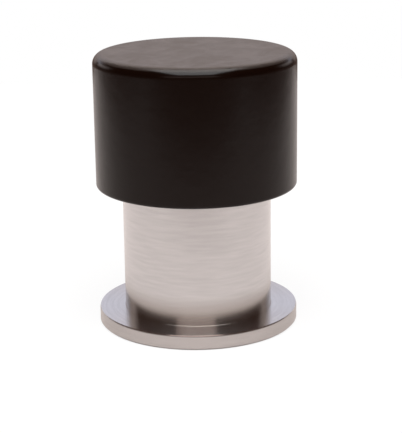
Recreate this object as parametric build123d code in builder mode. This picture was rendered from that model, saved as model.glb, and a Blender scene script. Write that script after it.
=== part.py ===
from build123d import *
import os
from math import radians, tan

# A floor-mounted cylindrical door stop: a steel post, turned in one piece with the round flange
# that it stands on, and a moulded rubber cap that is pushed over the upper end of the post.
# A bead inside the cap snaps into a groove in the post, and a blind tapped hole in the underside
# takes the floor stud. Millimetres, +Z up, origin at the middle of the flange's underside.

# Flange and post, turned from one bar
flange_diameter = 40.0  # the cap is as wide
flange_thickness = 3.0
flange_edge_chamfer = 0.4
base_edge_chamfer = 0.3
post_diameter = 29.6
post_showing = 25.0  # height of bare post between the flange and the cap
post_end_chamfer = 1.0

# Blind hole for the floor stud, at the size of its tapping drill
tapping_diameter = 6.8
tapping_depth = 18.0
tapping_mouth_chamfer = 0.7
tapping_mouth_angle = 90.0
drill_point_angle = 118.0

# Rubber cap
cap_height = 26.5
cap_crown = 5.5  # rubber above the post's end
cap_rim_radius = 2.0
cap_lip_radius = 0.6
cap_mouth_chamfer = 0.5

# Snap fit of the cap on the post: the cap's bead fills the post's groove but for the clearance
groove_width = 3.0
groove_depth = 1.0
groove_flank_angle = 45.0
groove_below_post_end = 7.0
cap_clearance = 0.05

# Sizes that follow from the ones above
flange_radius = flange_diameter / 2
post_radius = post_diameter / 2
tapping_radius = tapping_diameter / 2
drill_point_height = tapping_radius / tan(radians(drill_point_angle / 2))
socket_radius = post_radius + cap_clearance
cap_radius = flange_radius
cap_bottom = flange_thickness + post_showing
cap_top = cap_bottom + cap_height
post_end = cap_top - cap_crown
groove_height = post_end - groove_below_post_end

# Flanged post: a turned section with the cap's groove, then its broken edges and the tapped hole
with BuildPart() as flanged_post:
    with BuildSketch(Plane.XZ):
        with BuildLine():
            Polyline(
                (0, 0),
                (flange_radius, 0),
                (flange_radius, flange_thickness),
                (post_radius, flange_thickness),
                (post_radius, post_end),
                (0, post_end),
                close=True,
            )
        make_face()
        with Locations((post_radius, groove_height)):
            Trapezoid(
                width=groove_width,
                height=groove_depth,
                left_side_angle=groove_flank_angle,
                rotation=90,
                align=(Align.CENTER, Align.MIN),
                mode=Mode.SUBTRACT,
            )
    revolve(axis=Axis.Z)

    base_face = flanged_post.faces().sort_by(Axis.Z)[0]
    chamfer(base_face.edges(), base_edge_chamfer)

    on_flange = flanged_post.edges().filter_by_position(Axis.Z, flange_thickness, flange_thickness)
    chamfer(on_flange.sort_by(SortBy.RADIUS)[-1], flange_edge_chamfer)

    end_face = flanged_post.faces().sort_by(Axis.Z)[-1]
    chamfer(end_face.edges(), post_end_chamfer)

    with Locations(flanged_post.faces().sort_by(Axis.Z)[0]):
        CounterSinkHole(
            radius=tapping_radius,
            counter_sink_radius=tapping_radius + tapping_mouth_chamfer,
            depth=tapping_depth,
            counter_sink_angle=tapping_mouth_angle,
        )
    with Locations((0, 0, tapping_depth)):
        Cone(
            bottom_radius=tapping_radius,
            top_radius=0,
            height=drill_point_height,
            align=(Align.CENTER, Align.CENTER, Align.MIN),
            mode=Mode.SUBTRACT,
        )

# Rubber cap: a thick cup with the bead on its inner wall, rounded outside and eased at its mouth
with BuildPart() as rubber_cap:
    with BuildSketch(Plane.XZ):
        with BuildLine():
            Polyline(
                (0, post_end),
                (socket_radius, post_end),
                (socket_radius, cap_bottom),
                (cap_radius, cap_bottom),
                (cap_radius, cap_top),
                (0, cap_top),
                close=True,
            )
        make_face()
        with Locations((socket_radius, groove_height)):
            Trapezoid(
                width=groove_width,
                height=groove_depth,
                left_side_angle=groove_flank_angle,
                rotation=90,
                align=(Align.CENTER, Align.MIN),
            )
    revolve(axis=Axis.Z)

    top_face = rubber_cap.faces().sort_by(Axis.Z)[-1]
    fillet(top_face.edges(), cap_rim_radius)

    mouth_edges = rubber_cap.faces().sort_by(Axis.Z)[0].edges()
    fillet(mouth_edges.sort_by(SortBy.RADIUS)[-1], cap_lip_radius)

    mouth_edges = rubber_cap.faces().sort_by(Axis.Z)[0].edges()
    chamfer(mouth_edges.sort_by(SortBy.RADIUS)[0], cap_mouth_chamfer)

    # The socket's inner corner is filled by as much as the post's end is chamfered
    socket_end_edges = rubber_cap.edges().filter_by_position(Axis.Z, post_end, post_end)
    chamfer(socket_end_edges.sort_by(SortBy.RADIUS)[-1], post_end_chamfer)

# One STEP file for each piece
os.makedirs("parts", exist_ok=True)

flanged_post.part.label = "flanged_post"
export_step(flanged_post.part, "parts/flanged_post.step")

rubber_cap.part.label = "rubber_cap"
export_step(rubber_cap.part, "parts/rubber_cap.step")
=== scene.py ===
"""Looks of a floor-mounted cylindrical door stop: a black rubber cap over a brushed steel post.

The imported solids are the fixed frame. Each piece is swept from its half section by one
geometry-node tree and dressed in its finish. The post and the cap stand in for their solids, and
the hole in the post's foot gets its thread. A small studio of white panels lights them, and the
camera stands where the photograph was taken.
"""

import logging
import math
from dataclasses import dataclass
from enum import Enum
from functools import partial
from typing import Any, ClassVar

import bmesh
import bpy
from mathutils import Matrix, Vector


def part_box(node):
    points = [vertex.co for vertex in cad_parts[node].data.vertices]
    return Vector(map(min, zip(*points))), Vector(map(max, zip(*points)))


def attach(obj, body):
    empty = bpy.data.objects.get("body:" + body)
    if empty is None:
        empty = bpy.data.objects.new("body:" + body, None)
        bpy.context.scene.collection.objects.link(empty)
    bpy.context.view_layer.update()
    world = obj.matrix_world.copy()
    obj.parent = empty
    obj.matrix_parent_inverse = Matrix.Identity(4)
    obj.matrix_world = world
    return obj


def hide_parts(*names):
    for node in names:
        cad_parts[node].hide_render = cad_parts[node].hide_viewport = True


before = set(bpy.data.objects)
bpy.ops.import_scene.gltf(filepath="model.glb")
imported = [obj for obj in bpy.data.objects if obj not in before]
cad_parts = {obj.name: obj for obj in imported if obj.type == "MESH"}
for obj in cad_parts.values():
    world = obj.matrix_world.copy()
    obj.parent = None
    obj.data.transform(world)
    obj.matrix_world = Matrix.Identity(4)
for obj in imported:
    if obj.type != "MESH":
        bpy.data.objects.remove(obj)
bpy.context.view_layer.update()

log = logging.getLogger("door_stop")

MM = 0.001  # metres in a millimetre
BODY = "root"  # the one body of an object without joints
ROUNDING = "rounding"  # point attribute: radius that a section's corner is rounded to
TURNING = "turning"  # UV map of a swept piece: turns round the axis, metres along the section

# Node kinds that are used throughout, and the places of a mix node's sockets
MATH = "ShaderNodeMath"
MIX = "ShaderNodeMix"
NUMBER_A, NUMBER_B = 2, 3
COLOUR_A, COLOUR_B = 6, 7
COLOUR_OUT = 2

NOISE_SPREAD = {"From Min": 0.3, "From Max": 0.7}  # values that a noise node mostly gives

Colour = tuple[float, float, float, float]
Socket = bpy.types.NodeSocket


class Solid(Enum):
    """Solids of the frame that the drawn pieces stand in for."""

    POST = "flanged_post"
    CAP = "rubber_cap"


class Slot(Enum):
    """Material slots of the record."""

    STEEL = "steel"
    RUBBER = "rubber"


def linear(hex_colour: str) -> Colour:
    """Turn an sRGB colour into a linear one.

    Args:
        hex_colour: six hex digits after a hash sign.

    Returns:
        Linear red, green and blue, with an alpha of one.
    """
    values = [int(hex_colour[i : i + 2], 16) / 255 for i in (1, 3, 5)]
    red, green, blue = (
        value / 12.92 if value <= 0.04045 else ((value + 0.055) / 1.055) ** 2.4 for value in values
    )
    return red, green, blue, 1.0


def add_node(
    tree: bpy.types.NodeTree,
    kind: str,
    inputs: dict[str | int, Any] | None = None,
    **settings: Any,
) -> bpy.types.Node:
    """Add a node, with its settings made first and its inputs linked or set after them.

    Args:
        tree: node tree that takes the node.
        kind: type name of the node.
        inputs: for a socket's name or place, the socket that feeds it or its constant value.
        settings: attributes of the node itself.

    Returns:
        The new node.
    """
    node = tree.nodes.new(kind)
    for name, value in settings.items():
        setattr(node, name, value)
    for key, value in (inputs or {}).items():
        if isinstance(value, Socket):
            tree.links.new(value, node.inputs[key])
        else:
            node.inputs[key].default_value = value
    return node


def new_material(name: str) -> tuple[bpy.types.Material, bpy.types.NodeTree]:
    """Start a node material without nodes.

    Args:
        name: name of the real material.

    Returns:
        The material and its empty node tree.
    """
    material = bpy.data.materials.new(name)
    material.use_nodes = True
    material.node_tree.nodes.clear()
    return material, material.node_tree


@dataclass(frozen=True)
class BrushedSteel:
    """Satin stainless steel, brushed round the axis it was turned on."""

    # To the eye: a soft grey metal with fine rings, which draws what it mirrors out along the
    # post. Painted shade makes it darker and browner at the foot and on the flange's rim, where it
    # mirrors the shadowed floor
    dark: str = "#C7C7C8"
    light: str = "#D2D2D3"
    # painted shade: darker, browner colour for the post's foot and the flange's rim
    painted_shade: str = "#ABA5A0"
    painted_shade_top: float = 6.0 * MM  # height above the flange at which the painted shade ends
    painted_shade_full: float = 2.0 * MM  # height below which the painted shade is darkest
    rim_painted_shade: float = 0.4  # share of the painted shade that is put on the flange's rim
    skin: float = 0.1 * MM  # how near to a face's own radius a point counts as on it
    roughness: float = 0.21
    anisotropy: float = 0.7
    rough_turn: float = 0.25  # turns from the way round the post to the way that blurs most
    line_pitch: float = 0.45 * MM  # coarser than real brushing, so that it shows in the picture
    line_detail: float = 3.0
    line_depth: float = 0.002 * MM
    streaks_round: float = 2.6  # how soon a brush line fades into the next on its way round

    def material(
        self, post_radius: float, flange_radius: float, flange_top: float
    ) -> bpy.types.Material:
        """Build the finish: a soft metal whose reflections are drawn out along the axis.

        Args:
            post_radius: radius of the post.
            flange_radius: radius of the flange.
            flange_top: height of the flange's upper face, where the post's foot is.

        Returns:
            The steel's material.
        """
        material, tree = new_material("stainless_steel_brushed")
        add = partial(add_node, tree)

        # Brush lines: rings along the section, uneven in depth and shade
        turning = add("ShaderNodeUVMap", uv_map=TURNING).outputs[0]
        along = add("ShaderNodeSeparateXYZ", {0: turning}).outputs
        angle = add(MATH, {0: along["X"], 1: math.tau}, operation="MULTIPLY").outputs[0]
        cosine = add(MATH, {0: angle}, operation="COSINE").outputs[0]
        sine = add(MATH, {0: angle}, operation="SINE").outputs[0]
        round_axis = add(
            "ShaderNodeCombineXYZ",
            {
                "X": add(MATH, {0: cosine, 1: self.streaks_round}, operation="MULTIPLY").outputs[0],
                "Y": add(MATH, {0: sine, 1: self.streaks_round}, operation="MULTIPLY").outputs[0],
                "Z": add(MATH, {0: along["Y"], 1: self.line_pitch}, operation="DIVIDE").outputs[0],
            },
        ).outputs[0]
        lines = add(
            "ShaderNodeTexNoise", {"Vector": round_axis, "Scale": 1.0, "Detail": self.line_detail}
        ).outputs[0]
        relief = add("ShaderNodeBump", {"Height": lines, "Distance": self.line_depth}).outputs[0]
        depth = add("ShaderNodeMapRange", {"Value": lines, **NOISE_SPREAD}).outputs[0]
        ringed = add(
            MIX,
            {0: depth, COLOUR_A: linear(self.dark), COLOUR_B: linear(self.light)},
            data_type="RGBA",
        ).outputs[COLOUR_OUT]

        # Painted shade: a darker, browner colour at the post's foot, and in part on the flange's
        # rim, standing in for the shadowed floor that the steel mirrors there
        place = add("ShaderNodeTexCoord").outputs["Object"]
        height = add("ShaderNodeSeparateXYZ", {0: place}).outputs["Z"]
        flat = add("ShaderNodeVectorMath", {0: place, 1: (1, 1, 0)}, operation="MULTIPLY").outputs[0]
        radius = add("ShaderNodeVectorMath", {0: flat}, operation="LENGTH").outputs["Value"]
        on_post, on_rim = (
            add(MATH, {0: radius, 1: face, 2: self.skin}, operation="COMPARE").outputs[0]
            for face in (post_radius, flange_radius)
        )
        low = add(
            "ShaderNodeMapRange",
            {
                "Value": height,
                "From Min": flange_top + self.painted_shade_top,
                "From Max": flange_top + self.painted_shade_full,
            },
        ).outputs[0]
        at_foot = add(MATH, {0: on_post, 1: low}, operation="MULTIPLY").outputs[0]
        at_rim = add(MATH, {0: on_rim, 1: self.rim_painted_shade}, operation="MULTIPLY").outputs[0]
        # share of the painted shade at each point
        overlay_share = add(MATH, {0: at_foot, 1: at_rim}, operation="MAXIMUM").outputs[0]
        shade = add(
            MIX, {0: overlay_share, COLOUR_A: ringed, COLOUR_B: linear(self.painted_shade)}, data_type="RGBA"
        ).outputs[COLOUR_OUT]

        # Lines stretch a reflection across themselves, so the rough axis runs along the post
        tangent = add("ShaderNodeTangent", direction_type="RADIAL", axis="Z").outputs[0]
        surface = add(
            "ShaderNodeBsdfPrincipled",
            {
                "Base Color": shade,
                "Metallic": 1.0,
                "Roughness": self.roughness,
                "Anisotropic": self.anisotropy,
                "Anisotropic Rotation": self.rough_turn,
                "Normal": relief,
                "Tangent": tangent,
            },
        )
        add("ShaderNodeOutputMaterial", {"Surface": surface.outputs[0]})
        return material


@dataclass(frozen=True)
class MouldedRubber:
    """Black moulded rubber, rubbed smooth on its rim and dusty on its crown."""

    # To the eye: dull and near black face on, greyer towards its edges, with a thin line of light
    # round the rim and a brown crown whose wiped strokes show only at a low angle
    colour: str = "#100603"
    dust: str = "#5A524E"
    roughness: float = 0.25
    rubbed_roughness: float = 0.14  # on the rounded rim, rubbed smooth by handling
    rubbed_height: float = 2.2 * MM  # how far below the crown the rubbing ends
    # Of the crown, where it was wiped and where the dust is left. Both stay above 0.275: a noise
    # filter takes a smoother spot for a mirror, and draws a hard edge round it
    wiped_roughness: float = 0.28
    dusty_roughness: float = 0.48
    shine: float = 0.22  # specular level: a little below that of clean rubber
    cloud_size: float = 3.0 * MM
    cloud_detail: float = 3.0
    cloud_depth: float = 0.03 * MM
    dust_and_painted_highlight_edge: float = 0.8 * MM  # how far below the crown the dust fades out; on the rim's rounding it is partly painted highlight
    thinnest: float = 0.8  # share of the dust that is left where it was wiped
    stroke: tuple[float, float] = (6.0 * MM, 4.0 * MM)  # length and width of a wiped stroke
    stroke_angle: float = math.radians(72)  # from +X
    stroke_detail: float = 4.0
    stroke_swirl: float = 0.6  # how far the strokes are bent out of line

    def material(self, crown: float) -> bpy.types.Material:
        """Build the finish: near black and dull, with a rubbed rim, wiped dust on top, and painted
        highlight where the dust fades down the rim.

        Args:
            crown: height of the cap's flat top.

        Returns:
            The rubber's material.
        """
        material, tree = new_material("rubber_black_moulded")
        add = partial(add_node, tree)

        # Cloudy unevenness of the moulded skin
        place = add("ShaderNodeTexCoord").outputs["Object"]
        clouds = add(
            "ShaderNodeTexNoise",
            {"Vector": place, "Scale": 1 / self.cloud_size, "Detail": self.cloud_detail},
        ).outputs[0]
        relief = add("ShaderNodeBump", {"Height": clouds, "Distance": self.cloud_depth}).outputs[0]

        # Thin dust that lies on the crown, wiped about in soft strokes, and fades out down the rim's
        # rounding, where it is painted highlight that lightens the rim's line of light
        height = add("ShaderNodeSeparateXYZ", {0: place}).outputs["Z"]
        level = add(
            "ShaderNodeMapRange",
            {"Value": height, "From Min": crown - self.dust_and_painted_highlight_edge, "From Max": crown},
        ).outputs[0]
        length, width = self.stroke
        turned = add(
            "ShaderNodeVectorRotate",
            {"Vector": place, "Angle": -self.stroke_angle},
            rotation_type="Z_AXIS",
        ).outputs[0]
        along = add(
            "ShaderNodeVectorMath",
            {0: turned, 1: (1 / length, 1 / width, 1 / width)},
            operation="MULTIPLY",
        ).outputs[0]
        strokes = add(
            "ShaderNodeTexNoise",
            {
                "Vector": along,
                "Scale": 1.0,
                "Detail": self.stroke_detail,
                "Distortion": self.stroke_swirl,
            },
        ).outputs[0]
        amount = add(
            "ShaderNodeMapRange", {"Value": strokes, **NOISE_SPREAD, "To Min": self.thinnest}
        ).outputs[0]
        overlay_share = add(MATH, {0: level, 1: amount}, operation="MULTIPLY").outputs[0]
        shade = add(
            MIX,
            {0: overlay_share, COLOUR_A: linear(self.colour), COLOUR_B: linear(self.dust)},
            data_type="RGBA",
        ).outputs[COLOUR_OUT]

        # Wiped strokes are glossier than the dust beside them, and the rim than the side
        worn = add(
            "ShaderNodeMapRange",
            {
                "Value": strokes,
                **NOISE_SPREAD,
                "To Min": self.wiped_roughness,
                "To Max": self.dusty_roughness,
            },
        ).outputs[0]
        rubbed = add(
            "ShaderNodeMapRange",
            {
                "Value": height,
                "From Min": crown - self.rubbed_height,
                "From Max": crown - self.dust_and_painted_highlight_edge,
                "To Min": self.roughness,
                "To Max": self.rubbed_roughness,
            },
        ).outputs[0]
        dulled = add(
            MIX, {0: level, NUMBER_A: rubbed, NUMBER_B: worn}, data_type="FLOAT"
        ).outputs[0]
        surface = add(
            "ShaderNodeBsdfPrincipled",
            {
                "Base Color": shade,
                "Roughness": dulled,
                "Specular IOR Level": self.shine,
                "Normal": relief,
            },
        )
        add("ShaderNodeOutputMaterial", {"Surface": surface.outputs[0]})
        return material


@dataclass(frozen=True)
class PaleSheet:
    """White paper that the object stands on."""

    # To the eye: plain white in a bright exposure, with only a faint shadow left on it
    colour: str = "#E6DDD9"
    seen_white: float = 0.85  # how far it is washed out to plain white for the camera

    def material(self) -> bpy.types.Material:
        """Build the finish: white paper in a bright exposure, with a faint shadow left on it.

        Returns:
            The sheet's material.
        """
        material, tree = new_material("paper_white")
        add = partial(add_node, tree)
        seen = add("ShaderNodeLightPath").outputs["Is Camera Ray"]
        plain = linear("#FFFFFF")
        tint = add(
            MIX, {0: seen, COLOUR_A: linear(self.colour), COLOUR_B: plain}, data_type="RGBA"
        ).outputs[COLOUR_OUT]
        paper = add("ShaderNodeBsdfDiffuse", {"Color": tint}).outputs[0]
        white = add("ShaderNodeEmission", {"Color": plain, "Strength": 1.0}).outputs[0]
        share = add(MATH, {0: seen, 1: self.seen_white}, operation="MULTIPLY").outputs[0]
        both = add("ShaderNodeMixShader", {0: share, 1: paper, 2: white}).outputs[0]
        add("ShaderNodeOutputMaterial", {"Surface": both})
        return material


@dataclass(frozen=True)
class Corner:
    """A corner of a half section, in metres from the axis and above the floor."""

    radius: float
    height: float
    rounding: float = 0.0


class ScrewSweep:
    """Geometry-node tree that sweeps a half section round +Z, with a rise for a thread."""

    INPUTS: ClassVar[dict[str, str]] = {
        "Section": "NodeSocketGeometry",
        "Turns": "NodeSocketFloat",
        "Rise": "NodeSocketFloat",
        "Steps": "NodeSocketInt",
        "Arc points": "NodeSocketInt",
        "Crease": "NodeSocketFloat",
        "Finish": "NodeSocketMaterial",
    }
    WELD: ClassVar[float] = 0.001 * MM  # points nearer than this are made one
    CREASE: ClassVar[float] = math.radians(28)  # a sharper edge than this stays crisp
    ARC_POINTS: ClassVar[int] = 14  # points on a rounded corner

    def __init__(self) -> None:
        """Build the tree once, for every swept piece."""
        self.tree = bpy.data.node_groups.new("screw_sweep", "GeometryNodeTree")
        interface = self.tree.interface
        interface.new_socket("Swept", in_out="OUTPUT", socket_type="NodeSocketGeometry")
        self.identifiers = {
            name: interface.new_socket(name, in_out="INPUT", socket_type=kind).identifier
            for name, kind in self.INPUTS.items()
        }
        self._wire()

    def _wire(self) -> None:
        """Fill the tree: round the section, lay a grid, and wrap the grid round the axis."""
        add = partial(add_node, self.tree)
        given = add("NodeGroupInput").outputs

        # The section as a curve with its corners rounded
        rounding = add(
            "GeometryNodeInputNamedAttribute", {"Name": ROUNDING}, data_type="FLOAT"
        ).outputs["Attribute"]
        outline = add("GeometryNodeMeshToCurve", {"Mesh": given["Section"]}).outputs[0]
        rounded = add(
            "GeometryNodeFilletCurve",
            {
                "Curve": outline,
                "Radius": rounding,
                "Count": given["Arc points"],
                "Limit Radius": True,
            },
            mode="POLY",
        ).outputs[0]
        count = add(
            "GeometryNodeAttributeDomainSize", {0: rounded}, component="CURVE"
        ).outputs["Point Count"]

        # A grid with a row for each point of the section and a column for each step round
        columns = add(MATH, {0: given["Steps"], 1: 1.0}, operation="ADD").outputs[0]
        grid = add(
            "GeometryNodeMeshGrid", {"Vertices X": columns, "Vertices Y": count}
        ).outputs["Mesh"]
        index = add("GeometryNodeInputIndex").outputs[0]
        row = add(MATH, {0: index, 1: count}, operation="FLOORED_MODULO").outputs[0]
        passed = add(MATH, {0: index, 1: count}, operation="DIVIDE").outputs[0]
        column = add(MATH, {0: passed}, operation="FLOOR").outputs[0]
        progress = add(MATH, {0: column, 1: given["Steps"]}, operation="DIVIDE").outputs[0]
        turn = add(MATH, {0: progress, 1: given["Turns"]}, operation="MULTIPLY").outputs[0]

        # Each grid point goes to its section point, swung round the axis and lifted by the rise
        place = add("GeometryNodeInputPosition").outputs[0]
        point = add(
            "GeometryNodeSampleIndex",
            {"Geometry": rounded, "Value": place, "Index": row},
            data_type="FLOAT_VECTOR",
        ).outputs[0]
        length = add("GeometryNodeSplineParameter").outputs["Length"]
        travelled = add(
            "GeometryNodeSampleIndex",
            {"Geometry": rounded, "Value": length, "Index": row},
            data_type="FLOAT",
        ).outputs[0]
        angle = add(MATH, {0: turn, 1: math.tau}, operation="MULTIPLY").outputs[0]
        swung = add(
            "ShaderNodeVectorRotate", {"Vector": point, "Angle": angle}, rotation_type="Z_AXIS"
        ).outputs[0]
        gained = add(MATH, {0: turn, 1: given["Rise"]}, operation="MULTIPLY").outputs[0]
        lift = add("ShaderNodeCombineXYZ", {"Z": gained}).outputs[0]
        swept = add(
            "GeometryNodeSetPosition", {"Geometry": grid, "Position": swung, "Offset": lift}
        ).outputs[0]

        # The map that the brush lines follow, kept at the face corners so that its seam stays sound
        turning = add("ShaderNodeCombineXYZ", {"X": turn, "Y": travelled}).outputs[0]
        at_points = add(
            "GeometryNodeFieldOnDomain", {"Value": turning}, data_type="FLOAT_VECTOR", domain="POINT"
        ).outputs[0]
        mapped = add(
            "GeometryNodeStoreNamedAttribute",
            {"Geometry": swept, "Name": TURNING, "Value": at_points},
            data_type="FLOAT2",
            domain="CORNER",
        ).outputs[0]

        # Weld the seam and the poles, shade the curves smooth and keep the corners crisp
        welded = add(
            "GeometryNodeMergeByDistance", {"Geometry": mapped, "Distance": self.WELD}
        ).outputs[0]
        smooth = add("GeometryNodeSetShadeSmooth", {"Geometry": welded}, domain="FACE").outputs[0]
        bend = add("GeometryNodeInputMeshEdgeAngle").outputs["Unsigned Angle"]
        gentle = add(
            "FunctionNodeCompare", {"A": bend, "B": given["Crease"]}, operation="LESS_THAN"
        ).outputs[0]
        creased = add(
            "GeometryNodeSetShadeSmooth",
            {"Geometry": smooth, "Shade Smooth": gentle},
            domain="EDGE",
        ).outputs[0]
        real = add("GeometryNodeRealizeInstances", {"Geometry": creased}).outputs[0]
        dressed = add(
            "GeometryNodeSetMaterial", {"Geometry": real, "Material": given["Finish"]}
        ).outputs[0]
        add("NodeGroupOutput", {0: dressed})

    def sweep(
        self,
        name: str,
        corners: list[Corner],
        finish: bpy.types.Material,
        steps: int,
        turns: float = 1.0,
        rise: float = 0.0,
    ) -> bpy.types.Object:
        """Sweep a half section into a plain closed mesh.

        Args:
            name: name of the piece.
            corners: the section's corners in order.
            finish: material of the whole piece.
            steps: steps round the axis, in all its turns.
            turns: turns round the axis.
            rise: height gained in a turn.

        Returns:
            The object of the piece, at the origin.
        """
        section = bpy.data.meshes.new(name)
        section.from_pydata(
            [(corner.radius, 0.0, corner.height) for corner in corners],
            [(i, i + 1) for i in range(len(corners) - 1)],
            [],
        )
        radii = section.attributes.new(ROUNDING, "FLOAT", "POINT")
        radii.data.foreach_set("value", [corner.rounding for corner in corners])
        piece = bpy.data.objects.new(name, section)
        bpy.context.collection.objects.link(piece)

        modifier = piece.modifiers.new("sweep", "NODES")
        modifier.node_group = self.tree
        values = {
            "Turns": turns,
            "Rise": rise,
            "Steps": steps,
            "Arc points": self.ARC_POINTS,
            "Crease": self.CREASE,
            "Finish": finish,
        }
        for socket, value in values.items():
            modifier[self.identifiers[socket]] = value

        depsgraph = bpy.context.evaluated_depsgraph_get()
        mesh = bpy.data.meshes.new_from_object(piece.evaluated_get(depsgraph), depsgraph=depsgraph)
        piece.modifiers.clear()
        piece.data = mesh
        bpy.data.meshes.remove(section)
        mesh.name = name
        close_and_face_out(mesh)
        return piece


def close_and_face_out(mesh: bpy.types.Mesh) -> None:
    """Fill the open ends of a swept mesh and turn its faces outward.

    Args:
        mesh: mesh to mend in place.
    """
    work = bmesh.new()
    work.from_mesh(mesh)
    open_edges = [edge for edge in work.edges if edge.is_boundary]
    bmesh.ops.holes_fill(work, edges=open_edges)
    bmesh.ops.recalc_face_normals(work, faces=work.faces)
    work.to_mesh(mesh)
    work.free()


def with_supports(corners: list[Corner], reach: float) -> list[Corner]:
    """Add a point on each side of every rounded corner, so that the flats beside it stay flat.

    Args:
        corners: the section's corners in order.
        reach: distance of a point from the end of the rounding.

    Returns:
        The corners with the points between them.
    """
    supported = [corners[0]]
    for before, corner, after in zip(corners, corners[1:], corners[2:]):
        here = Vector((corner.radius, corner.height))
        back = Vector((before.radius, before.height)) - here
        ahead = Vector((after.radius, after.height)) - here
        tangent = corner.rounding / math.tan(back.angle(ahead) / 2) + reach
        sides = [here + side.normalized() * tangent for side in (back, ahead)]
        if corner.rounding:
            supported += [Corner(*sides[0]), corner, Corner(*sides[1])]
        else:
            supported.append(corner)
    return supported + [corners[-1]]


def settle(piece: bpy.types.Object, solid: Solid | None = None) -> None:
    """Fix a finished piece to the frame, and report it.

    Args:
        piece: finished object.
        solid: solid of the frame that it stands in for, if it does.
    """
    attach(piece, BODY)
    if solid:
        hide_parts(solid.value)
    piece.data.calc_loop_triangles()
    log.info("%s: %d triangles", piece.name, len(piece.data.loop_triangles))


@dataclass
class FloorThread:
    """The thread of the tapped hole that takes the floor stud."""

    major_radius: float = 4.0 * MM
    minor_radius: float = 3.4 * MM
    pitch: float = 1.25 * MM
    depth: float = 16.5 * MM
    start: float = 0.9 * MM
    crest: float = 0.25  # width of a ridge's crest, in pitches
    root: float = 0.86  # width of a ridge's foot, in pitches
    foot: float = 0.1 * MM  # how far the ridge's foot is sunk in the wall
    steps_a_turn: int = 48

    def build(self, sweep: ScrewSweep, finish: bpy.types.Material) -> None:
        """Wind the ridge of the thread up the wall of the hole.

        Args:
            sweep: tree that sweeps it.
            finish: steel of the post.
        """
        half_crest = self.crest * self.pitch / 2
        half_root = self.root * self.pitch / 2
        sunk = self.major_radius + self.foot
        corners = [
            Corner(sunk, self.start - half_root),
            Corner(self.major_radius, self.start - half_root),
            Corner(self.minor_radius, self.start - half_crest),
            Corner(self.minor_radius, self.start + half_crest),
            Corner(self.major_radius, self.start + half_root),
            Corner(sunk, self.start + half_root),
            Corner(sunk, self.start - half_root),
        ]
        turns = (self.depth - self.start) / self.pitch
        steps = round(turns * self.steps_a_turn)
        settle(sweep.sweep("floor_thread", corners, finish, steps, turns, self.pitch))


@dataclass
class FlangedPost:
    """Steel post, turned in one piece with the flange that it stands on."""

    post_radius: float = 14.8 * MM
    flange_thickness: float = 3.0 * MM
    edge_run: float = 0.12 * MM  # how far in the flange's steep upper edge goes
    edge_drop: float = 0.3 * MM  # how far down it goes
    edge_round: float = 1.2 * MM  # runs it into the rim, which draws a dark line along the edge
    base_edge: float = 0.3 * MM
    foot_corner: float = 0.06 * MM
    end_chamfer: float = 1.0 * MM
    groove_height: float = 42.0 * MM
    groove_width: float = 3.0 * MM
    groove_depth: float = 1.0 * MM
    hole_mouth: float = 4.1 * MM
    drill_depth: float = 18.0 * MM
    drill_point: float = math.radians(118)
    support: float = 0.05 * MM  # distance of the points that support a rounding
    steps: int = 256

    def build(self, sweep: ScrewSweep, finish: bpy.types.Material, thread: FloorThread) -> None:
        """Turn the post, with its hole below and the cap's groove above.

        Args:
            sweep: tree that sweeps it.
            finish: steel of the post.
            thread: thread that the hole is tapped with.
        """
        low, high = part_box(Solid.POST.value)
        flange = high.x
        end = high.z
        floor = low.z
        wall = thread.major_radius
        drill = thread.minor_radius
        tip = self.drill_depth + drill / math.tan(self.drill_point / 2)
        groove_top = self.groove_height + self.groove_width / 2
        groove_bottom = self.groove_height - self.groove_width / 2
        groove_radius = self.post_radius - self.groove_depth
        corners = [
            Corner(0.0, tip),
            Corner(drill, self.drill_depth),
            Corner(drill, thread.depth),
            Corner(wall, thread.depth),
            Corner(wall, floor + self.hole_mouth - wall),
            Corner(self.hole_mouth, floor),
            Corner(flange - self.base_edge, floor),
            Corner(flange, floor + self.base_edge),
            Corner(flange, self.flange_thickness - self.edge_drop, self.edge_round),
            Corner(flange - self.edge_run, self.flange_thickness),
            Corner(self.post_radius, self.flange_thickness, self.foot_corner),
            Corner(self.post_radius, groove_bottom),
            Corner(groove_radius, groove_bottom + self.groove_depth),
            Corner(groove_radius, groove_top - self.groove_depth),
            Corner(self.post_radius, groove_top),
            Corner(self.post_radius, end - self.end_chamfer),
            Corner(self.post_radius - self.end_chamfer, end),
            Corner(0.0, end),
        ]
        piece = sweep.sweep(
            Solid.POST.value + "_turned", with_supports(corners, self.support), finish, self.steps
        )
        settle(piece, Solid.POST)


@dataclass
class RubberCap:
    """Rubber cap, moulded with a bead that sits in the post's groove."""

    wall: float = 5.15 * MM
    crown: float = 5.5 * MM
    rim: float = 2.0 * MM
    lip: float = 0.6 * MM
    mouth_chamfer: float = 0.5 * MM
    bead_height: float = 42.0 * MM
    bead_width: float = 3.0 * MM
    bead_depth: float = 1.0 * MM
    socket_corner: float = 1.0 * MM
    support: float = 0.1 * MM  # distance of the points that support a rounding
    steps: int = 256

    def build(self, sweep: ScrewSweep, finish: bpy.types.Material) -> None:
        """Turn the cap round its socket.

        Args:
            sweep: tree that sweeps it.
            finish: rubber of the cap.
        """
        low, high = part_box(Solid.CAP.value)
        side = high.x
        top = high.z
        mouth = low.z
        socket = side - self.wall
        ceiling = top - self.crown
        bead_top = self.bead_height + self.bead_width / 2
        bead_bottom = self.bead_height - self.bead_width / 2
        bead_radius = socket - self.bead_depth
        corners = [
            Corner(0.0, ceiling),
            Corner(socket - self.socket_corner, ceiling),
            Corner(socket, ceiling - self.socket_corner),
            Corner(socket, bead_top),
            Corner(bead_radius, bead_top - self.bead_depth),
            Corner(bead_radius, bead_bottom + self.bead_depth),
            Corner(socket, bead_bottom),
            Corner(socket, mouth + self.mouth_chamfer),
            Corner(socket + self.mouth_chamfer, mouth),
            Corner(side, mouth, self.lip),
            Corner(side, top, self.rim),
            Corner(0.0, top),
        ]
        piece = sweep.sweep(
            Solid.CAP.value + "_moulded", with_supports(corners, self.support), finish, self.steps
        )
        settle(piece, Solid.CAP)


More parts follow.
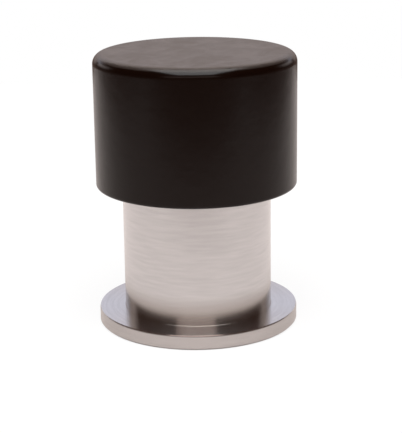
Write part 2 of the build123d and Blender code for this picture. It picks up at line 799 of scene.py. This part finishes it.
class Wall(Enum):
    """Sides of the studio: the direction that each lies in, and those across it and up it."""

    BACK = ((0, 1, 0), (1, 0, 0), (0, 0, 1))
    FRONT = ((0, -1, 0), (1, 0, 0), (0, 0, 1))
    LEFT = ((-1, 0, 0), (0, 1, 0), (0, 0, 1))
    RIGHT = ((1, 0, 0), (0, 1, 0), (0, 0, 1))
    CEILING = ((0, 0, 1), (1, 0, 0), (0, 1, 0))
    TABLE = ((0, 0, -1), (1, 0, 0), (0, 1, 0))


@dataclass(frozen=True)
class Panel:
    """A soft-edged bright rectangle on a side of the studio, measured one unit from the object."""

    wall: Wall
    across: tuple[float, float]
    up: tuple[float, float]
    softness: float
    radiance: float
    tint: str = "#FFFFFF"
    gives_light: bool = True  # a backdrop gives none: it is only seen, in the metal too


@dataclass
class Studio:
    """A dark room with bright panels, and the white sheet that the object stands on."""

    ENDLESS: ClassVar[tuple[float, float]] = (-99, 99)  # reaches past what is seen of a side
    NEAREST: ClassVar[float] = 0.001  # a direction that faces a side by less isn't on it

    # The table, three heights of the backdrop, a card at each side, the softbox overhead, and a
    # low strip of light behind the camera
    panels: tuple[Panel, ...] = (
        Panel(Wall.TABLE, ENDLESS, ENDLESS, 0.1, 0.18, "#FFD2C0"),
        Panel(Wall.BACK, (-0.62, 0.62), (0.0, 0.6), 0.2, 0.57, "#FFEAE3", gives_light=False),
        Panel(Wall.BACK, (-0.5, 0.5), (0.55, 1.4), 0.2, 1.3, "#FFF0EB", gives_light=False),
        Panel(Wall.BACK, (-1.1, 1.1), (0.27, 0.46), 0.1, 0.95, "#F1F1FF", gives_light=False),
        Panel(Wall.LEFT, (0.5, 1.25), (0.2, 0.44), 0.4, 1.4, "#FFF0EB", gives_light=False),
        Panel(Wall.RIGHT, (0.5, 1.25), (0.2, 0.44), 0.4, 1.3, "#FFF0EB", gives_light=False),
        Panel(Wall.CEILING, (-0.49, 0.49), (-1.1, 0.24), 0.15, 4.7),
        Panel(Wall.FRONT, (-0.68, 0.5), (0.287, 0.445), 0.08, 1.75, "#FFE4DA"),
    )
    room: str = "#4A332A"
    sheet_front: float = 0.165  # how far the sheet reaches from the object, in metres
    sheet_left: float = 0.24
    sheet_right: float = 0.22
    sheet_back: float = 0.26
    sheet_gap: float = 0.01 * MM  # keeps the sheet clear of the flange's underside

    def build(self) -> None:
        """Lay the sheet and light the room."""
        front, back = -self.sheet_front, self.sheet_back
        left, right = -self.sheet_left, self.sheet_right
        mesh = bpy.data.meshes.new("sheet")
        outline = [(left, front), (right, front), (right, back), (left, back)]
        mesh.from_pydata([(x, y, -self.sheet_gap) for x, y in outline], [], [(0, 1, 2, 3)])
        mesh.materials.append(PaleSheet().material())
        sheet = bpy.data.objects.new("sheet", mesh)
        bpy.context.collection.objects.link(sheet)

        world = bpy.data.worlds.new("studio")
        bpy.context.scene.world = world
        world.use_nodes = True
        tree = world.node_tree
        tree.nodes.clear()
        add = partial(add_node, tree)
        direction = add("ShaderNodeTexCoord").outputs["Generated"]
        light = add("ShaderNodeRGB").outputs[0]
        light.default_value = linear(self.room)
        path = add("ShaderNodeLightPath").outputs
        reflected = add(
            MATH, {0: path["Is Glossy Ray"], 1: path["Is Transmission Ray"]}, operation="MAXIMUM"
        ).outputs[0]
        for panel in self.panels:
            shine = tuple(panel.radiance * value for value in linear(panel.tint))
            cover = self._cover(tree, direction, panel)
            if not panel.gives_light:
                cover = add(MATH, {0: cover, 1: reflected}, operation="MULTIPLY").outputs[0]
            light = add(
                MIX, {0: cover, COLOUR_A: light, COLOUR_B: shine}, data_type="RGBA"
            ).outputs[COLOUR_OUT]
        room = add("ShaderNodeBackground", {"Color": light}).outputs[0]
        white = add("ShaderNodeBackground", {"Color": linear("#FFFFFF")}).outputs[0]
        both = add("ShaderNodeMixShader", {0: path["Is Camera Ray"], 1: room, 2: white}).outputs[0]
        add("ShaderNodeOutputWorld", {"Surface": both})

    def _cover(self, tree: bpy.types.NodeTree, direction: Socket, panel: Panel) -> Socket:
        """Work out how far a panel covers a direction.

        Args:
            tree: node tree of the world.
            direction: socket with the direction.
            panel: the panel.

        Returns:
            The socket of its share, from nothing to one.
        """
        add = partial(add_node, tree)
        towards, *sideways = (
            add("ShaderNodeVectorMath", {0: direction, 1: axis}, operation="DOT_PRODUCT")
            for axis in panel.wall.value
        )
        facing = towards.outputs["Value"]
        depth = add(MATH, {0: facing, 1: self.NEAREST}, operation="MAXIMUM").outputs[0]
        cover = add(MATH, {0: facing, 1: self.NEAREST}, operation="GREATER_THAN").outputs[0]
        half = panel.softness / 2
        for side, (start, end) in zip(sideways, (panel.across, panel.up)):
            place = add(MATH, {0: side.outputs["Value"], 1: depth}, operation="DIVIDE").outputs[0]
            for edge, inward in ((start, half), (end, -half)):
                fade = add(
                    "ShaderNodeMapRange",
                    {"Value": place, "From Min": edge - inward, "From Max": edge + inward},
                    interpolation_type="SMOOTHSTEP",
                ).outputs[0]
                cover = add(MATH, {0: cover, 1: fade}, operation="MULTIPLY").outputs[0]
        return cover


@dataclass
class PhotoCamera:
    """Camera fitted to the object's outline in the photograph."""

    position: Vector = Vector((0.0, -276.41, 99.88)) * MM
    target: Vector = Vector((0.788, 0.0, 21.01)) * MM
    roll: float = -0.014
    focal_length: float = 1428.86 / 433  # in long sides of the picture

    def build(self) -> None:
        """Set up the camera and make it the scene's own."""
        forward = (self.target - self.position).normalized()
        right = forward.cross(Vector((0, 0, 1))).normalized()
        up = right.cross(forward)
        cosine, sine = math.cos(self.roll), math.sin(self.roll)
        rolled_right = right * cosine + up * sine
        rolled_up = up * cosine - right * sine
        pose = Matrix((rolled_right, rolled_up, -forward)).transposed().to_4x4()
        pose.translation = self.position
        lens = bpy.data.cameras.new("photo_camera")
        lens.lens = self.focal_length * lens.sensor_width
        lens.clip_start = MM
        camera = bpy.data.objects.new("photo_camera", lens)
        camera.matrix_world = pose
        bpy.context.collection.objects.link(camera)
        bpy.context.scene.camera = camera


def main() -> None:
    """Build the pieces in order, then the studio and the camera."""
    logging.basicConfig(level=logging.INFO, format="%(name)s %(message)s")
    bpy.context.scene.view_settings.view_transform = "Standard"
    sweep = ScrewSweep()
    post = FlangedPost()
    flange_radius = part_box(Solid.POST.value)[1].x
    steel = BrushedSteel().material(post.post_radius, flange_radius, post.flange_thickness)
    thread = FloorThread()
    post.build(sweep, steel, thread)
    thread.build(sweep, steel)
    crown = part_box(Solid.CAP.value)[1].z
    RubberCap().build(sweep, MouldedRubber().material(crown))
    Studio().build()
    PhotoCamera().build()


if __name__ == "__main__":
    main()
